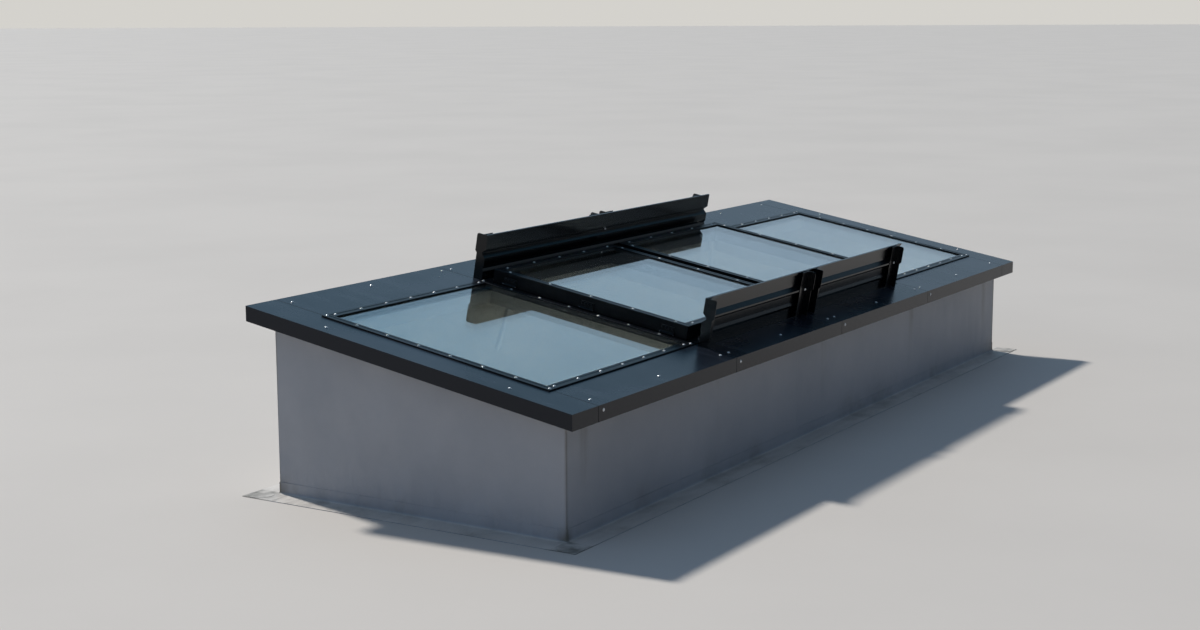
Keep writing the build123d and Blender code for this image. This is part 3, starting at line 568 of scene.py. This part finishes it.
def islands(thing):
    """Separate solids of a node, each as its vertices' places and its largest face's normal."""
    mesh = bmesh.new()
    mesh.from_mesh(thing.data)
    bmesh.ops.remove_doubles(mesh, verts=mesh.verts, dist=weld_distance)
    seen = set()
    found = []
    for start in mesh.verts:
        if start in seen:
            continue
        group = connected(start)
        seen.update(group)
        faces = [face for vertex in group for face in vertex.link_faces]
        normal = max(faces, key=lambda face: face.calc_area()).normal.copy()
        found.append(([vertex.co.copy() for vertex in group], normal))
    mesh.free()
    return found


def mostly_along(axis, direction):
    """Whether an axis points mostly along a direction, either way."""
    return abs(axis.dot(direction)) > mostly


def screw_seats(name):
    """Seat and outward axis of each screw in a node, leaving out those in the end fascias."""
    lo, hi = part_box(name)
    middle = (Vector(lo) + Vector(hi)) / 2
    seats = []
    for points, axis in islands(frame["nodes"][name]):
        if mostly_along(axis, along_kerb):
            continue
        centre = sum(points, Vector()) / len(points)
        away = upright if mostly_along(axis, upright) else centre - middle
        if axis.dot(away) < 0:
            axis = -axis
        depth = min((point - centre).dot(axis) for point in points)
        seats.append((centre + axis * depth, axis))
    return seats


def lathe(mesh, profile, seat, axis, turn=0.0):
    """Turn a profile of radius and height round an axis, closed at both ends."""
    frame_axes = axis.to_track_quat("Z", "Y").to_matrix()
    rings = []
    for radius, height in profile:
        ring = []
        for index in range(head_sides):
            angle = turn + 2 * math.pi * index / head_sides
            point = Vector((radius * math.cos(angle), radius * math.sin(angle), height))
            ring.append(mesh.verts.new(seat + frame_axes @ point))
        rings.append(ring)
    for lower, upper in zip(rings, rings[1:]):
        for index in range(head_sides):
            following = (index + 1) % head_sides
            face = mesh.faces.new((lower[index], lower[following], upper[following], upper[index]))
            face.smooth = True
    mesh.faces.new(tuple(reversed(rings[0])))
    mesh.faces.new(rings[-1])


def screw_profile():
    """Radius and height up a washer and over a domed head into its round socket."""
    top = washer_height + head_height
    washer = [(washer_radius * washer_foot, 0.0), (washer_radius, washer_height / 2),
              (washer_radius * washer_rim, washer_height), (head_radius * head_foot, washer_height)]
    dome = [(head_radius * math.cos(angle), washer_height + head_height * math.sin(angle))
            for angle in dome_angles]
    socket = [(socket_radius, top * socket_rim), (socket_radius * socket_taper, top - socket_depth)]
    return washer + dome + socket


def add_screws(mesh, seats):
    """Add a screw on each seat, each turned a little further than the last."""
    for index, (seat, axis) in enumerate(seats):
        lathe(mesh, screw_profile(), seat, axis, index * turn_step)


def make_screws(name, body, chosen):
    """Domed screws in place of a node's plain heads."""
    mesh = bmesh.new()
    add_screws(mesh, screw_seats(name))
    thing = finish_mesh(name + "_domed", mesh, chosen)
    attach(thing, body)
    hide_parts(name)


def leaf_middle(points):
    """Height, square to the slope, of the middle of a hinge leaf."""
    heights = [point.dot(off_slope) for point in points]
    return (min(heights) + max(heights)) / 2


def leaf_seats(name, outward):
    """Seat and outward axis of four screws on each leaf of a flap's hinges."""
    seats = []
    for points, _ in islands(frame["nodes"][name]):
        middle = leaf_middle(points)
        face = max(point.x * outward for point in points if point.dot(off_slope) > middle)
        along = [point.dot(up_slope) for point in points]
        above = max(point.dot(off_slope) for point in points) - leaf_screw_drop
        for share in leaf_screw_shares:
            place_up = min(along) + share * (max(along) - min(along))
            seat = up_slope * place_up + off_slope * above
            seat.x = face * outward
            seats.append((seat, Vector((outward, 0, 0))))
    return seats


def make_leaf_screws(side, outward, chosen):
    """Screws that hold the hinge leaves to a flap."""
    mesh = bmesh.new()
    add_screws(mesh, leaf_seats("flap_hinge_leaves_" + side, outward))
    thing = finish_mesh("leaf_screws_" + side, mesh, chosen)
    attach(thing, "flap_" + side)


def make_bolt_ends(chosen):
    """Bolt ends on the deflectors' inner faces where two panels meet, in the rib and near the foot."""
    mesh = bmesh.new()
    for seat, axis in screw_seats("deflector_screws"):
        if mostly_along(axis, off_slope) or abs(seat.x) > bolt_reach:
            continue
        in_rib = seat - axis * bolt_grip
        near_foot = in_rib - axis * rib_depth - off_slope * bolt_drop
        lathe(mesh, screw_profile(), in_rib, -axis)
        lathe(mesh, screw_profile(), near_foot, -axis)
    thing = finish_mesh("deflector_bolt_ends", mesh, chosen)
    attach(thing, "base")


def make_patches(chosen):
    """Round membrane patches on the skirt's four corners."""
    lo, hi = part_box("kerb_membrane")
    mesh = bmesh.new()
    for x in (lo[0], hi[0]):
        for y in (lo[1], hi[1]):
            away = Vector((math.copysign(patch_radius, x), math.copysign(patch_radius, y), 0))
            centre = Matrix.Translation(Vector((x, y, skirt_top + patch_thickness / 2)) + away)
            bmesh.ops.create_cone(mesh, cap_ends=True, segments=patch_sides, radius1=patch_radius,
                                  radius2=patch_radius * patch_top, depth=patch_thickness, matrix=centre)
    thing = finish_mesh("corner_patches", mesh, chosen)
    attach(thing, "base")


# Stage


def make_stage():
    """Plain pale floor."""
    bpy.ops.mesh.primitive_plane_add(size=floor_size, location=(0, 0, -floor_drop))
    floor = bpy.context.object
    floor.name = "floor"
    floor.data.materials.append(floor_material())


def mirrored_sky(tree, directions):
    """Pale blue near the horizon, deeper above, with soft clouds."""
    height = node(tree, "SeparateXYZ", Vector=directions).outputs["Z"]
    clear = mix(tree, spread_range(tree, height, *sky_span), sky_low, sky_high)
    puffs = noise(tree, directions, cloud_scale, detail=5.0, roughness=0.6)
    clouds = spread_range(tree, puffs, *cloud_span, to_high=cloud_cover)
    return mix(tree, clouds, clear, cloud_tone)


def make_world():
    """Soft fill, weaker from the low side; plain to the camera, and a mild sky to glass and gloss."""
    world = bpy.data.worlds.new("studio")
    bpy.context.scene.world = world
    world.use_nodes = True
    tree = world.node_tree
    tree.nodes.clear()
    directions = node(tree, "TexCoord").outputs["Generated"]
    sky = mirrored_sky(tree, directions)
    high_side = node(tree, "SeparateXYZ", Vector=directions).outputs["Y"]
    bright = spread_range(tree, high_side, *mirror_span, mirror_strength * mirror_shade, mirror_strength)
    fill = spread_range(tree, high_side, *fill_span, fill_strength * fill_shade, fill_strength)
    path = node(tree, "LightPath")
    soft = node(tree, "Background", Color=fill_tone, Strength=fill)
    mirrored = node(tree, "Background", Color=sky, Strength=bright)
    shown = node(tree, "Background", Color=backdrop_tone, Strength=1.0)
    seen = joined_by(tree, path.outputs["Is Glossy Ray"], soft, mirrored)
    seen = joined_by(tree, path.outputs["Is Camera Ray"], seen, shown)
    output = node(tree, "OutputWorld")
    tree.links.new(seen.outputs[0], output.inputs["Surface"])


def make_key():
    """One soft lamp from behind, high on the left."""
    lamp = bpy.data.lights.new("key", "SUN")
    lamp.energy = key_strength
    lamp.angle = key_softness
    lamp.color = key_tone
    thing = bpy.data.objects.new("key", lamp)
    thing.rotation_mode = "QUATERNION"
    thing.rotation_quaternion = Vector(key_direction).to_track_quat("Z", "Y")
    bpy.context.scene.collection.objects.link(thing)


def make_camera():
    """Camera at the photograph's place and angle."""
    azimuth = math.radians(camera_azimuth)
    elevation = math.radians(camera_elevation)
    back = Vector((math.sin(azimuth) * math.cos(elevation), -math.cos(azimuth) * math.cos(elevation),
                   math.sin(elevation)))
    data = bpy.data.cameras.new("camera")
    data.sensor_width = sensor_width
    data.lens = focal_pixels / photo_width * sensor_width
    data.clip_end = camera_reach
    thing = bpy.data.objects.new("camera", data)
    level = back.to_track_quat("Z", "Y").to_matrix()
    turned = level @ Matrix.Rotation(math.radians(camera_roll), 3, "Z")
    thing.matrix_world = Matrix.Translation(camera_place) @ turned.to_4x4()
    bpy.context.scene.collection.objects.link(thing)
    bpy.context.scene.camera = thing


materials = make_materials()
dress_nodes(materials)
for screws, body in (("plate_screws", "base"), ("flashing_screws", "base"), ("deflector_screws", "base"),
                     ("flap_screws_left", "flap_left"), ("flap_screws_right", "flap_right")):
    make_screws(screws, body, materials["screw"])
make_leaf_screws("left", -1, materials["hinge"])
make_leaf_screws("right", 1, materials["hinge"])
make_bolt_ends(materials["screw"])
make_patches(materials["membrane"])
make_stage()
make_world()
make_key()
make_camera()
bpy.context.scene.view_settings.view_transform = "Standard"
